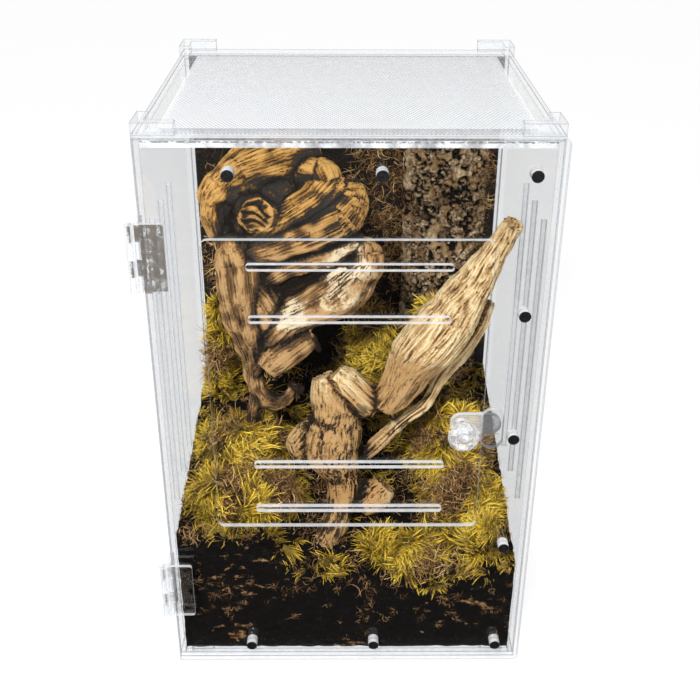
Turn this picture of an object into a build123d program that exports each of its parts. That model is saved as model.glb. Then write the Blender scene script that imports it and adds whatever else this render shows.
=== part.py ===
from build123d import *
import math
import os

# Reptile terrarium: a bonded clear acrylic box with a perforated lid, a fixed
# front panel with a doorway, and a full-size door on two hinges that nine pairs
# of magnets and a turn latch hold shut. Millimetres, +Z up, the front faces -Y.
# Sizes are first given in a working frame: x from the middle of the box, y back
# from the front face of the closed door, z up from the underside of the floor.

os.makedirs("parts", exist_ok=True)

# ---- Box ----
SHEET = 3.0                  # every acrylic sheet
BOX_WIDTH = 199.0            # over the side walls
BOX_HEIGHT = 317.0           # floor underside to lid top
BOX_DEPTH = 185.0            # front panel's front face to the back wall's back
DOOR_GAP = 0.2               # door to front panel, all over

# ---- Door ----
DOOR_EDGE_GAP = 0.5          # door's left edge inside the box's left face
DOOR_LIP = 1.8               # the free edge stands proud, as a finger hold
FREE_CORNER = 3.0            # radius of the door's two free corners
DOOR_SLOT_LENGTH = 101.0
DOOR_SLOT_WIDTH = 3.3
DOOR_SLOT_HEIGHTS = (253.0, 224.8, 138.7, 110.0)
DOOR_SLOT_X = 0.6            # middle of the slots

# ---- Doorway in the front panel ----
DOORWAY_X = -0.25            # middle of the doorway
DOORWAY_WIDTH = 142.5
DOORWAY_HEIGHT = 170.0
DOORWAY_SILL = 96.0          # its lower edge
DOORWAY_CORNER = 3.5

# ---- Vent slots in the side walls ----
SIDE_SLOT_COUNT = 3
SIDE_SLOT_WIDTH = 2.2
SIDE_SLOT_LENGTH = 171.0
SIDE_SLOT_BOTTOM = 96.0
SIDE_SLOT_FIRST = 29.5       # first slot, back from the door's front face
SIDE_SLOT_PITCH = 27.5

# ---- Magnets: the same grid in the door and in the panel ----
MAGNET_DIAMETER = 6.0
MAGNET_FIT = 0.05            # glue line round each magnet
MAGNET_FROM_SIDE = 12.3      # right column, in from the box's right face
MAGNET_PITCH_X = 71.7
MAGNET_FROM_BOTTOM = 11.0    # bottom row, up from the floor's underside
MAGNET_FROM_TOP = 18.0       # top row, down from the lid's top
MAGNET_COLUMNS = 3
MAGNET_ROWS = 5

# ---- Turn latch ----
LATCH_X = 60.5
LATCH_Z = 158.5
SPINDLE_DIAMETER = 5.0
SPINDLE_FIT = 0.05           # radial, running in the door
KNOB_DIAMETER = 17.2
KNOB_CROWN = 12.4            # across the facets of the front face
KNOB_HEIGHT = 6.4
KNOB_BASE = 1.6              # plain rim next to the door
KNOB_FACETS = 12
KNOB_STEP = 0.3              # facets start this far inside the rim
KNOB_BORE = 4.0              # how far the spindle goes into the knob
WASHER_GAP = 0.3             # knob to door, and bar to keeper
BAR_WIDTH = 12.0
BAR_REACH = 21.1             # spindle to the bar's far end
KEEPER_WIDTH = 12.0
KEEPER_LENGTH = 24.0
KEEPER_FROM_EDGE = 0.45      # keeper's near side, inside the doorway's edge
KEEPER_Z = 157.5

# ---- Hinges ----
HINGE_MIDDLES = {"upper": 258.3, "lower": 54.0}
HINGE_LENGTH = 35.5
HINGE_SHEET = 2.0
KNUCKLES = 4
KNUCKLE_DIAMETER = 4.6
KNUCKLE_GAP = 0.3            # between neighbouring knuckles
PIN_DIAMETER = 1.8
PIN_FIT = 0.05
PIN_X = 3.7                  # axis, out from the box's left face
PIN_Y = 1.5                  # axis, in front of the door's front face
DOOR_LEAF_REACH = 15.7       # axis to the door leaf's far edge
WALL_LEAF_REACH = 13.5       # axis to the wall leaf's far edge
LEAF_RELIEF = 0.9            # plate of the door leaf, clear of the wall leaf
TAB_RELIEF = 0.6             # wall leaf's plate, behind the door leaf's tabs
LEAF_CORNER = 1.5

# ---- Stacking corners on the lid and feet under the floor ----
CORNER_LEG = 20.0
CORNER_WIDTH = 5.5
CORNER_HEIGHT = 6.0
FOOT_SIDE = 13.0
FOOT_HEIGHT = 6.0
FOOT_FIT = 0.5               # foot inside the stacking corner of the box below
FOOT_CORNER = 1.0

# ---- Furnishings ----
BOARD_THICKNESS = 4.0        # backdrop board in front of the back wall
BOARD_CLEAR = 0.3            # board and soil to the acrylic beside them
SEAT = 0.3                   # soft and wooden pieces to what they rest on
SOIL_STATIONS = (-48.0, -16.0, 22.0, 60.0)    # x between the two walls
SOIL_FRONT_Z = (88.0, 84.0, 53.0, 48.0, 54.0, 68.0)
SOIL_BACK_Z = (108.0, 104.0, 98.0, 95.0, 98.0, 104.0)
BARK_FROM_WALL = 33.5        # middle of the bark slab to the right wall
BARK_WIDTH = 53.0
BARK_BULGE = 19.0
BARK_EDGE = 5.0
BARK_BOTTOM = 97.0
BARK_BELOW_LID = 12.0
LOG_SIDES = 9

# Each limb of wood is a list of (x, y, z, radius) stations along it.
ROOT_HEART = (
    (-45.9, 122.0, 269.2, 13.9),
    (-47.1, 116.0, 254.4, 18.5),
    (-40.3, 112.0, 241.2, 20.9),
    (-28.8, 110.0, 230.9, 21.6),
    (-17.2, 107.0, 223.3, 17.6),
)
ROOT_BODY = (
    (-64.2, 97.0, 223.6, 11.5),
    (-60.1, 94.0, 207.3, 15.1),
    (-52.4, 93.0, 192.4, 17.6),
    (-45.7, 91.0, 179.0, 15.4),
    (-47.2, 89.0, 164.0, 10.7),
)
ROOT_CROWN = (
    (-13.5, 122.0, 278.2, 6.3),
    (-27.2, 118.0, 274.6, 11.4),
    (-42.9, 112.0, 271.8, 14.2),
    (-57.3, 106.0, 268.4, 13.5),
    (-67.8, 101.0, 262.5, 11.2),
    (-75.3, 98.0, 254.1, 9.0),
    (-76.8, 97.0, 244.3, 6.8),
    (-74.5, 97.0, 235.3, 5.7),
    (-69.7, 97.0, 228.5, 5.2),
)
ROOT_BAND = (
    (-29.4, 112.0, 264.2, 6.3),
    (-21.9, 108.0, 266.1, 7.9),
    (-13.3, 104.0, 265.1, 9.6),
    (-10.5, 100.0, 260.0, 9.6),
    (-16.7, 97.0, 254.0, 9.6),
    (-25.7, 94.0, 248.5, 9.6),
    (-34.8, 93.0, 242.9, 9.0),
    (-42.7, 92.0, 239.1, 8.5),
    (-51.8, 92.0, 237.2, 7.4),
    (-59.3, 94.0, 238.3, 6.2),
)
ROOT_EYE = (
    (-51.3, 102.0, 239.4, 9.2),
    (-51.1, 93.0, 244.1, 11.8),
    (-50.5, 86.0, 247.3, 11.1),
    (-50.0, 81.0, 249.2, 8.3),
)
ROOT_SHOULDER = (
    (-0.3, 106.0, 259.1, 6.8),
    (1.9, 101.0, 254.3, 8.5),
    (0.8, 97.0, 248.0, 10.2),
    (-5.4, 93.0, 242.3, 11.3),
    (-16.7, 91.0, 237.7, 11.3),
    (-28.1, 90.0, 232.6, 10.8),
    (-39.5, 90.0, 227.7, 10.2),
    (-51.0, 90.0, 224.0, 9.1),
    (-61.5, 91.0, 221.1, 8.0),
)
ROOT_FOLD = (
    (10.7, 98.0, 229.5, 6.9),
    (2.6, 94.0, 226.1, 8.6),
    (-7.7, 92.0, 223.9, 8.6),
    (-19.1, 90.0, 221.6, 8.0),
    (-29.5, 89.0, 217.7, 7.4),
    (-38.8, 89.0, 212.7, 7.5),
    (-47.0, 89.0, 206.4, 6.9),
)
ROOT_RIGHT_LEG = (
    (1.5, 98.0, 226.4, 8.6),
    (8.4, 94.0, 221.2, 10.9),
    (8.4, 91.0, 213.8, 11.5),
    (2.6, 89.0, 206.5, 13.3),
    (-5.4, 88.0, 199.3, 13.9),
    (-15.9, 87.0, 194.0, 12.2),
    (-25.8, 86.0, 189.3, 11.7),
    (-35.3, 86.0, 184.1, 12.3),
    (-43.1, 86.0, 176.2, 11.8),
    (-48.1, 85.0, 167.4, 9.5),
)
ROOT_LEFT_LEG = (
    (-67.9, 98.0, 231.8, 7.5),
    (-64.4, 93.0, 224.0, 12.0),
    (-62.4, 90.0, 211.6, 14.4),
    (-61.0, 87.0, 199.0, 14.5),
    (-58.6, 86.0, 185.4, 13.4),
    (-56.1, 85.0, 172.7, 11.2),
    (-54.8, 84.0, 159.9, 8.3),
    (-55.7, 82.0, 148.8, 6.0),
    (-54.1, 80.0, 139.6, 5.4),
    (-48.3, 79.0, 131.8, 6.0),
    (-39.9, 79.0, 131.1, 5.4),
    (-33.1, 80.0, 137.5, 4.2),
    (-30.0, 81.0, 143.8, 3.0),
)
ROOT_SPUR = (
    (-19.7, 88.0, 173.2, 8.9),
    (-27.9, 84.0, 169.3, 10.0),
    (-36.1, 80.0, 164.7, 10.0),
    (-43.1, 77.0, 159.7, 8.8),
    (-49.1, 75.0, 154.0, 6.5),
)
ROOT_TAIL = (
    (-55.0, 81.0, 138.0, 4.8),
    (-57.0, 78.0, 118.0, 4.0),
    (-58.0, 76.0, 94.0, 4.0),
)
BRANCH_ARM = (
    (87.3, 51.0, 257.9, 4.7),
    (83.2, 54.0, 248.3, 6.4),
    (78.5, 57.0, 237.4, 7.5),
    (74.1, 59.0, 226.5, 9.2),
    (68.6, 62.0, 214.4, 11.6),
    (62.3, 65.0, 202.6, 14.0),
    (56.3, 67.0, 191.6, 16.4),
    (49.5, 68.0, 180.9, 17.2),
    (41.4, 69.0, 170.0, 16.2),
    (35.9, 69.0, 159.4, 13.4),
    (31.5, 69.0, 149.3, 11.7),
    (26.4, 68.0, 141.1, 10.6),
    (19.4, 67.0, 133.4, 8.3),
)
BRANCH_LIP = (
    (80.1, 72.0, 201.8, 2.8),
    (77.6, 76.0, 186.5, 4.0),
    (71.8, 79.0, 171.9, 4.7),
    (63.8, 80.0, 159.4, 4.7),
    (56.1, 80.0, 147.2, 4.2),
    (51.7, 80.0, 136.1, 3.6),
    (46.5, 79.0, 128.3, 4.2),
    (39.3, 77.0, 123.8, 4.2),
    (31.5, 75.0, 117.9, 4.2),
    (23.7, 73.0, 110.6, 4.3),
    (15.8, 70.0, 103.9, 4.3),
    (7.9, 66.0, 98.6, 3.6),
)
BRANCH_FOOT = (
    (-14.9, 75.0, 153.4, 6.5),
    (-12.0, 73.0, 144.3, 10.1),
    (-8.4, 70.0, 134.4, 12.5),
    (-6.1, 68.0, 125.2, 14.9),
    (-9.1, 65.0, 115.8, 18.0),
    (-9.7, 62.0, 107.8, 17.4),
    (-5.5, 59.0, 99.7, 14.4),
    (-2.5, 56.0, 91.6, 10.8),
    (-2.5, 52.0, 82.7, 9.6),
    (-4.3, 48.0, 73.8, 8.4),
    (-7.9, 43.0, 65.7, 7.8),
    (-12.1, 38.0, 59.1, 6.6),
    (-14.2, 36.0, 53.0, 4.4),
)
BRANCH_HEEL = (
    (-12.6, 68.0, 123.8, 7.8),
    (-21.0, 66.0, 118.0, 9.6),
    (-26.5, 64.0, 110.0, 9.6),
    (-22.9, 62.0, 102.0, 7.2),
)
BRANCH_BRIDGE = (
    (-7.8, 73.0, 155.8, 6.5),
    (-1.3, 71.0, 150.2, 8.8),
    (5.2, 70.0, 143.3, 9.4),
    (11.7, 69.0, 137.0, 9.5),
    (20.0, 67.0, 133.4, 7.1),
)
BRANCH_STUB = (
    (6.6, 49.0, 75.3, 6.6),
    (12.1, 52.0, 78.3, 9.7),
    (17.5, 54.0, 82.7, 10.3),
    (23.5, 56.0, 87.9, 7.2),
)
# Each cushion in a patch of moss: middle x, y, half widths, foot and top heights.
MOSS_LEFT = (
    (-66.0, 34.0, 28.0, 22.0, 78.0, 112.0),
    (-62.0, 74.0, 31.0, 30.0, 82.0, 121.0),
    (-42.0, 44.0, 17.0, 20.0, 76.0, 104.0),
)
MOSS_RIGHT = (
    (66.0, 92.0, 27.0, 33.0, 60.0, 118.0),
    (70.0, 52.0, 26.0, 28.0, 54.0, 100.0),
    (78.0, 26.0, 17.0, 15.0, 50.0, 88.0),
)
MOSS_FRONT = (
    (38.0, 26.0, 22.0, 15.0, 44.0, 70.0),
    (20.0, 32.0, 15.0, 13.0, 44.0, 66.0),
)
MOSS_BACK_LEFT = ((-84.0, 148.0, 11.0, 26.0, 92.0, 168.0),)
MOSS_CENTRE = (
    (20.0, 138.0, 30.0, 30.0, 88.0, 166.0),
    (52.0, 136.0, 22.0, 24.0, 88.0, 174.0),
)
MOSS_SIDES = 10
MOSS_SHAPE = ((0.0, 0.8), (0.3, 1.0), (0.65, 0.85), (0.9, 0.5), (1.0, 0.25))  # height, width

# ---- Worked out from the sizes above ----
half_width = BOX_WIDTH / 2
panel_y = SHEET + DOOR_GAP
inside_y = panel_y + SHEET
back_y = panel_y + BOX_DEPTH
inside_back_y = back_y - SHEET
inside_x = half_width - SHEET
lid_z = BOX_HEIGHT - SHEET
board_y = inside_back_y - BOARD_THICKNESS
door_left = DOOR_EDGE_GAP - half_width
door_right = half_width + DOOR_LIP
doorway_right = DOORWAY_X + DOORWAY_WIDTH / 2
keeper_x = doorway_right - KEEPER_FROM_EDGE + KEEPER_WIDTH / 2
keeper_back = inside_y + SHEET
bar_y = keeper_back + WASHER_GAP
bar_back = bar_y + SHEET
magnet_left = half_width - MAGNET_FROM_SIDE - (MAGNET_COLUMNS - 1) * MAGNET_PITCH_X
magnet_pitch_z = (BOX_HEIGHT - MAGNET_FROM_BOTTOM - MAGNET_FROM_TOP) / (MAGNET_ROWS - 1)
axis_x = -half_width - PIN_X
axis_y = -PIN_Y

# The part's origin: the middle of its outline on the surface it stands on.
outline_left = axis_x - KNUCKLE_DIAMETER / 2
outline_front = min(-WASHER_GAP - KNOB_HEIGHT, axis_y - KNUCKLE_DIAMETER / 2)
origin = Vector((outline_left + door_right) / 2, (outline_front + back_y) / 2, -FOOT_HEIGHT)


def save(name, solids):
    """Writes one named piece, moved from the working frame to the part's origin."""
    placed = [Pos(-origin.X, -origin.Y, -origin.Z) * solid for solid in solids]
    shape = placed[0] if len(placed) == 1 else Compound(children=placed)
    export_step(shape, f"parts/{name}.step")


def block(x0, x1, y0, y1, z0, z1):
    middle = Pos((x0 + x1) / 2, (y0 + y1) / 2, (z0 + z1) / 2)
    return middle * Box(x1 - x0, y1 - y0, z1 - z0)


def front_plane(y):
    """A plane facing the viewer: its own x is X and its own y is Z."""
    return Plane(origin=(0, y, 0), x_dir=(1, 0, 0), z_dir=(0, -1, 0))


def plate(sketch, y_front, thickness=SHEET):
    """A sheet cut to an outline drawn in X and Z."""
    return extrude(front_plane(y_front + thickness) * sketch, thickness)


def rod(diameter, x, z, y0, y1):
    """A round bar along Y."""
    return extrude(front_plane(y1) * Pos(x, z) * Circle(diameter / 2), y1 - y0)


def magnet_places():
    """The top and bottom rows and the whole right-hand column of the grid."""
    for row in range(MAGNET_ROWS):
        for column in range(MAGNET_COLUMNS):
            end_row = row in (0, MAGNET_ROWS - 1)
            free_side = column == MAGNET_COLUMNS - 1
            if end_row or free_side:
                yield magnet_left + column * MAGNET_PITCH_X, MAGNET_FROM_BOTTOM + row * magnet_pitch_z


def magnet_holes(y_front):
    bore = MAGNET_DIAMETER + 2 * MAGNET_FIT
    return [rod(bore, x, z, y_front, y_front + SHEET) for x, z in magnet_places()]


# ---- Floor, walls and lid, bonded edge to face ----
save("floor_panel", [block(-inside_x, inside_x, inside_y, inside_back_y, 0, SHEET)])
save("back_wall", [block(-half_width, half_width, inside_back_y, back_y, 0, lid_z)])
save("perforated_top", [block(-half_width, half_width, inside_y, back_y, lid_z, BOX_HEIGHT)])


def side_wall(x0):
    """A side wall with three tall vent slots with round ends."""
    wall = block(x0, x0 + SHEET, inside_y, inside_back_y, 0, lid_z)
    slot_z = SIDE_SLOT_BOTTOM + SIDE_SLOT_LENGTH / 2
    side = Plane(origin=(x0, 0, 0), x_dir=(0, 1, 0), z_dir=(1, 0, 0))
    for number in range(SIDE_SLOT_COUNT):
        slot_y = SIDE_SLOT_FIRST + number * SIDE_SLOT_PITCH
        outline = Pos(slot_y, slot_z) * SlotOverall(SIDE_SLOT_LENGTH, SIDE_SLOT_WIDTH, rotation=90)
        wall -= extrude(side * outline, SHEET)
    return wall


save("left_wall", [side_wall(-half_width)])
save("right_wall", [side_wall(inside_x)])

# ---- Fixed front panel, with the doorway and its magnets ----
doorway = Pos(DOORWAY_X, DOORWAY_SILL + DOORWAY_HEIGHT / 2) * RectangleRounded(
    DOORWAY_WIDTH, DOORWAY_HEIGHT, DOORWAY_CORNER
)
panel_outline = Pos(0, BOX_HEIGHT / 2) * Rectangle(BOX_WIDTH, BOX_HEIGHT)
panel = plate(panel_outline - doorway, panel_y)
for hole in magnet_holes(panel_y):
    panel -= hole
save("front_panel", [panel])
save(
    "frame_magnets",
    [rod(MAGNET_DIAMETER, x, z, panel_y, panel_y + SHEET) for x, z in magnet_places()],
)

# Keeper: a pad behind the panel that the latch bar turns in behind.
keeper_outline = Pos(keeper_x, KEEPER_Z) * SlotOverall(KEEPER_LENGTH, KEEPER_WIDTH, rotation=90)
save("latch_keeper", [plate(keeper_outline, inside_y)])

# ---- Door ----
door_width = door_right - door_left
door_outline = Pos((door_left + door_right) / 2, BOX_HEIGHT / 2) * Rectangle(door_width, BOX_HEIGHT)
door_outline = fillet(door_outline.vertices().group_by(Axis.X)[-1], FREE_CORNER)
for slot_height in DOOR_SLOT_HEIGHTS:
    door_outline -= Pos(DOOR_SLOT_X, slot_height) * SlotOverall(DOOR_SLOT_LENGTH, DOOR_SLOT_WIDTH)
door = plate(door_outline, 0)
for hole in magnet_holes(0):
    door -= hole
door -= rod(SPINDLE_DIAMETER + 2 * SPINDLE_FIT, LATCH_X, LATCH_Z, 0, SHEET)
save("front_door", [door])
save("door_magnets", [rod(MAGNET_DIAMETER, x, z, 0, SHEET) for x, z in magnet_places()])

# ---- Turn latch: knob in front, spindle through the door, bar behind ----
knob_front = -WASHER_GAP - KNOB_HEIGHT
spindle_front = -WASHER_GAP - KNOB_BORE
knob_rim = rod(KNOB_DIAMETER, LATCH_X, LATCH_Z, -WASHER_GAP - KNOB_BASE, -WASHER_GAP)
facet_foot = front_plane(-WASHER_GAP - KNOB_BASE) * Pos(LATCH_X, LATCH_Z)
facet_head = front_plane(knob_front) * Pos(LATCH_X, LATCH_Z)
knob_crown = loft(
    [
        facet_foot * RegularPolygon(KNOB_DIAMETER / 2 - KNOB_STEP, KNOB_FACETS),
        facet_head * RegularPolygon(KNOB_CROWN / 2, KNOB_FACETS),
    ],
    ruled=True,
)
knob = knob_rim + knob_crown
knob -= rod(SPINDLE_DIAMETER + 2 * SPINDLE_FIT, LATCH_X, LATCH_Z, spindle_front, -WASHER_GAP)
save("latch_knob", [knob])
save("latch_spindle", [rod(SPINDLE_DIAMETER, LATCH_X, LATCH_Z, spindle_front, bar_back)])

bar_length = BAR_REACH + BAR_WIDTH / 2
bar_middle = LATCH_X + BAR_REACH - bar_length / 2
bar = plate(Pos(bar_middle, LATCH_Z) * SlotOverall(bar_length, BAR_WIDTH), bar_y)
bar -= rod(SPINDLE_DIAMETER + 2 * SPINDLE_FIT, LATCH_X, LATCH_Z, bar_y, bar_back)
save("latch_bar", [bar])

# ---- Hinges: bent-leaf acrylic hinges with four knuckles and a long pin ----
knuckle_pitch = HINGE_LENGTH / KNUCKLES
barrel_radius = KNUCKLE_DIAMETER / 2
wall_leaf_x = -half_width - HINGE_SHEET
door_leaf_x = -half_width + LEAF_RELIEF


def upright(diameter, z0, z1):
    """A round bar on the hinge axis."""
    return Pos(axis_x, axis_y, (z0 + z1) / 2) * Cylinder(diameter / 2, z1 - z0)


def knuckle_spans(bottom, first):
    """Heights of every second knuckle, counted from the bottom."""
    for number in range(first, KNUCKLES, 2):
        low = bottom + number * knuckle_pitch + KNUCKLE_GAP / 2
        yield low, low + knuckle_pitch - KNUCKLE_GAP


def door_leaf(bottom):
    top = bottom + HINGE_LENGTH
    far_x = axis_x + DOOR_LEAF_REACH
    leaf = block(door_leaf_x, far_x, -HINGE_SHEET, 0, bottom, top)
    leaf = fillet(leaf.edges().filter_by(Axis.Y).group_by(Axis.X)[-1], LEAF_CORNER)
    for low, high in knuckle_spans(bottom, 1):
        leaf += block(axis_x, door_leaf_x, -HINGE_SHEET, 0, low, high)
        leaf += upright(KNUCKLE_DIAMETER, low, high)
    return leaf - upright(PIN_DIAMETER + 2 * PIN_FIT, bottom, top)


def wall_leaf(bottom):
    top = bottom + HINGE_LENGTH
    plate_y = TAB_RELIEF
    far_y = axis_y + WALL_LEAF_REACH
    leaf = block(wall_leaf_x, -half_width, plate_y, far_y, bottom, top)
    leaf = fillet(leaf.edges().filter_by(Axis.X).group_by(Axis.Y)[-1], LEAF_CORNER)
    for low, high in knuckle_spans(bottom, 0):
        leaf += block(wall_leaf_x, -half_width, axis_y, plate_y, low, high)
        leaf += upright(KNUCKLE_DIAMETER, low, high)
    return leaf - upright(PIN_DIAMETER + 2 * PIN_FIT, bottom, top)


for place, middle in HINGE_MIDDLES.items():
    bottom = middle - HINGE_LENGTH / 2
    save(f"{place}_hinge_door_leaf", [door_leaf(bottom)])
    save(f"{place}_hinge_wall_leaf", [wall_leaf(bottom)])
    save(f"{place}_hinge_pin", [upright(PIN_DIAMETER, bottom, bottom + HINGE_LENGTH)])


# ---- Four stacking corners on the lid, four feet under the floor ----
def stacking_corner(side, rear):
    """An L of acrylic with its outer faces flush with the walls."""
    x_edge = side * half_width
    y_edge = back_y if rear else panel_y
    inward_y = -1 if rear else 1
    x_span = sorted((x_edge, x_edge - side * CORNER_LEG))
    y_span = sorted((y_edge, y_edge + inward_y * CORNER_WIDTH))
    across = block(*x_span, *y_span, BOX_HEIGHT, BOX_HEIGHT + CORNER_HEIGHT)
    x_span = sorted((x_edge, x_edge - side * CORNER_WIDTH))
    y_span = sorted((y_edge, y_edge + inward_y * CORNER_LEG))
    return across + block(*x_span, *y_span, BOX_HEIGHT, BOX_HEIGHT + CORNER_HEIGHT)


def foot(side, rear):
    """A pad that drops inside the stacking corner of a box below."""
    inset = CORNER_WIDTH + FOOT_FIT
    x_edge = side * (half_width - inset)
    y_edge = back_y - inset if rear else panel_y + inset
    inward_y = -1 if rear else 1
    x_span = sorted((x_edge, x_edge - side * FOOT_SIDE))
    y_span = sorted((y_edge, y_edge + inward_y * FOOT_SIDE))
    pad = block(*x_span, *y_span, -FOOT_HEIGHT, 0)
    return fillet(pad.edges().filter_by(Axis.Z), FOOT_CORNER)


for depth_name, rear in (("front", False), ("back", True)):
    for side_name, side in (("left", -1), ("right", 1)):
        save(f"stacking_corner_{depth_name}_{side_name}", [stacking_corner(side, rear)])
        save(f"foot_{depth_name}_{side_name}", [foot(side, rear)])

# ---- Furnishings ----
board_x = inside_x - BOARD_CLEAR
board_top = lid_z - BOARD_CLEAR
save("background_board", [block(-board_x, board_x, board_y, inside_back_y, SHEET, board_top)])


def soil(grow=0.0):
    """The bed: its surface falls from the left wall and climbs to the back."""
    def section(y, heights):
        stations = (-board_x, *SOIL_STATIONS, board_x)
        surface = [(x, z + grow) for x, z in zip(stations, heights)]
        corners = [(-board_x, SHEET), *surface, (board_x, SHEET)]
        return front_plane(y) * make_face(Polyline(*corners, close=True))

    front = section(inside_y + BOARD_CLEAR - grow, SOIL_FRONT_Z)
    back = section(board_y - BOARD_CLEAR + grow, SOIL_BACK_Z)
    return loft([front, back], ruled=True)


def log(stations, grow=0.0):
    """A length of wood: a ruled loft through many-sided sections along it."""
    sections = []
    last = len(stations) - 1
    for number, (x, y, z, radius) in enumerate(stations):
        before = Vector(*stations[max(number - 1, 0)][:3])
        after = Vector(*stations[min(number + 1, last)][:3])
        along = (after - before).normalized()
        end_shift = {0: -grow, last: grow}.get(number, 0.0)
        middle = Vector(x, y, z) + along * end_shift
        section = Plane(origin=middle, x_dir=along.cross(Vector(0, 1, 0)), z_dir=along)
        sections.append(section * RegularPolygon(radius + grow, LOG_SIDES))
    return loft(sections, ruled=True)


def bark(grow=0.0):
    """A curved slab of cork bark, flat against the board."""
    middle_x = inside_x - BARK_FROM_WALL
    left = middle_x - BARK_WIDTH / 2 - grow
    right = middle_x + BARK_WIDTH / 2 + grow
    edge_y = board_y - BARK_EDGE - grow
    bulge_y = board_y - BARK_BULGE - grow
    outline = Line((left, board_y), (left, edge_y))
    outline += ThreePointArc((left, edge_y), (middle_x, bulge_y), (right, edge_y))
    outline += Polyline((right, edge_y), (right, board_y), (left, board_y))
    bottom = BARK_BOTTOM - grow
    top = lid_z - BARK_BELOW_LID + grow
    return extrude(Pos(0, 0, bottom) * make_face(outline), top - bottom)


def cushion(x, y, half_x, half_y, foot_z, top_z, grow=0.0):
    """A mound of moss: wide low down, rounded over at the top."""
    mound = []
    for height_share, width_share in MOSS_SHAPE:
        height = foot_z - grow + height_share * (top_z - foot_z + 2 * grow)
        corners = []
        for number in range(MOSS_SIDES):
            turn = 2 * math.pi * number / MOSS_SIDES
            corner_x = x + (width_share * half_x + grow) * math.cos(turn)
            corner_y = y + (width_share * half_y + grow) * math.sin(turn)
            corners.append((corner_x, corner_y))
        mound.append(Pos(0, 0, height) * make_face(Polyline(*corners, close=True)))
    return loft(mound, ruled=True)


def wood(limbs, grow=0.0):
    """Limbs grown into one piece."""
    return log(limbs[0], grow) + [log(limb, grow) for limb in limbs[1:]]


def moss_patch(cushions, grow=0.0):
    return cushion(*cushions[0], grow) + [cushion(*sizes, grow) for sizes in cushions[1:]]


root_limbs = (
    ROOT_HEART, ROOT_BODY, ROOT_CROWN, ROOT_BAND, ROOT_EYE, ROOT_SHOULDER, ROOT_FOLD, ROOT_RIGHT_LEG,
    ROOT_LEFT_LEG, ROOT_SPUR, ROOT_TAIL
)
branch_limbs = (BRANCH_ARM, BRANCH_LIP, BRANCH_FOOT, BRANCH_HEEL, BRANCH_BRIDGE, BRANCH_STUB)
room = block(-board_x, board_x, inside_y + BOARD_CLEAR, board_y - BOARD_CLEAR, SHEET, lid_z - SEAT)
root_room = wood(root_limbs, SEAT)
branch_room = wood(branch_limbs, SEAT)
save("driftwood_root", [wood(root_limbs) & room])
save("driftwood_branch", [wood(branch_limbs) & room])
save("cork_bark_slab", [bark()])
save("soil_bed", [soil() - root_room - branch_room - bark(SEAT)])

taken = [soil(SEAT), root_room, branch_room, bark(SEAT)]
patches = {
    "moss_left": MOSS_LEFT,
    "moss_right": MOSS_RIGHT,
    "moss_front": MOSS_FRONT,
    "moss_back_left": MOSS_BACK_LEFT,
    "moss_centre": MOSS_CENTRE,
}
for name, cushions in patches.items():
    moss = moss_patch(cushions) & room
    for neighbour in taken:
        moss -= neighbour
    taken.append(moss_patch(cushions, SEAT))
    save(name, [moss.solids().sort_by(SortBy.VOLUME)[-1]])
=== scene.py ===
import math
import random

import bmesh
import bpy
import numpy as np
from mathutils import Euler, Matrix, Vector, noise


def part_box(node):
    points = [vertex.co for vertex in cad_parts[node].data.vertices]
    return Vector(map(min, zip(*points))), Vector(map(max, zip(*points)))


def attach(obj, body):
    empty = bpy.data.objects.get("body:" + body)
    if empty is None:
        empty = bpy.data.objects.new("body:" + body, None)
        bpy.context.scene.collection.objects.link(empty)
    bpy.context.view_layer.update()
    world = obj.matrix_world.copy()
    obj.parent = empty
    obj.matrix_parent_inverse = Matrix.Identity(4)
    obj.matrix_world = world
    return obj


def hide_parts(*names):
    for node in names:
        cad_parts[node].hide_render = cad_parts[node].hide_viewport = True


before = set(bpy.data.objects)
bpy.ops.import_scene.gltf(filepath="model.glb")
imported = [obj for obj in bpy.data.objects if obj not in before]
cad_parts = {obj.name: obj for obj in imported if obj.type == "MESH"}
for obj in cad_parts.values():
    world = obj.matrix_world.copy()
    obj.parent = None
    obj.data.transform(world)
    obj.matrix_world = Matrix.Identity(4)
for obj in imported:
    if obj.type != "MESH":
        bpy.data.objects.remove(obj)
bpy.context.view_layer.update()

# ---- Studio ----
# A plain white floor and backdrop under soft light. The floor in front is dark to
# reflections alone, as in a studio with a black flag, so the clear door stays clear.


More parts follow.
